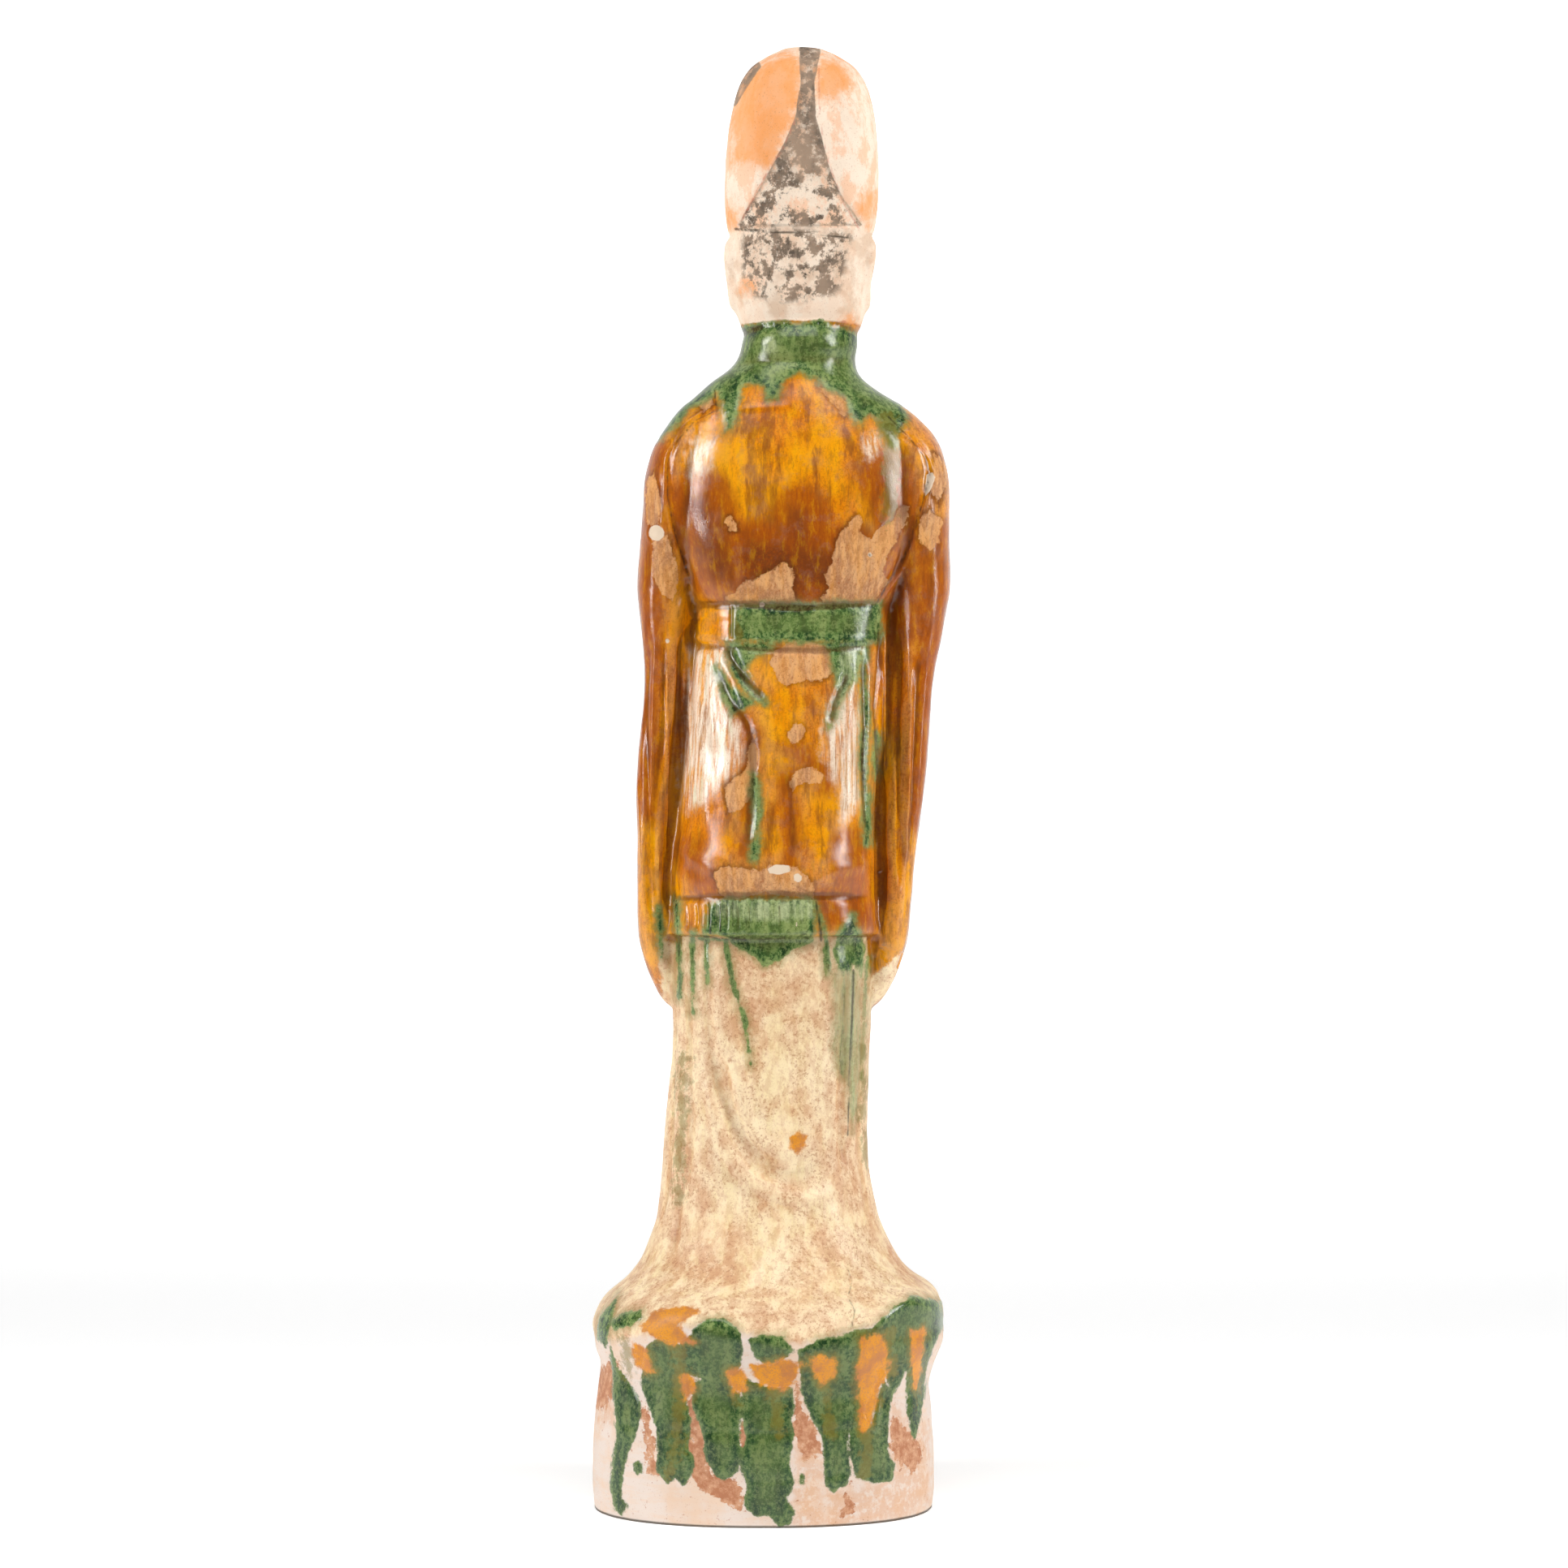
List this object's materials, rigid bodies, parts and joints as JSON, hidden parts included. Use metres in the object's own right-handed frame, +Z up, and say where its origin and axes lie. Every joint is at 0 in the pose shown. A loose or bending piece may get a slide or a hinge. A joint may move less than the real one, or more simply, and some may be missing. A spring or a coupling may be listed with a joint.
{
  "type": "tomb attendant figure",
  "caption": "Standing tomb attendant in a tall rounded cap and wide-sleeved coat, glazed earthenware on an integral drum plinth.",
  "frame": {"origin": "centre of the bounding box's underside, on the surface the plinth stands on", "axes": "+Z up, the figure faces -Y, its left hand is towards +X"},
  "size_m": [0.2579, 0.2236, 1.0501],
  "materials": {
    "sancai_glaze": "amber, green and cream lead glaze that ran in firing, glassy, with bare cold-painted head and partly bare red-brown clay on the plinth"
  },
  "bodies": {
    "root": {"tomb_attendant": "sancai_glaze"}
  },
  "joints": []
}
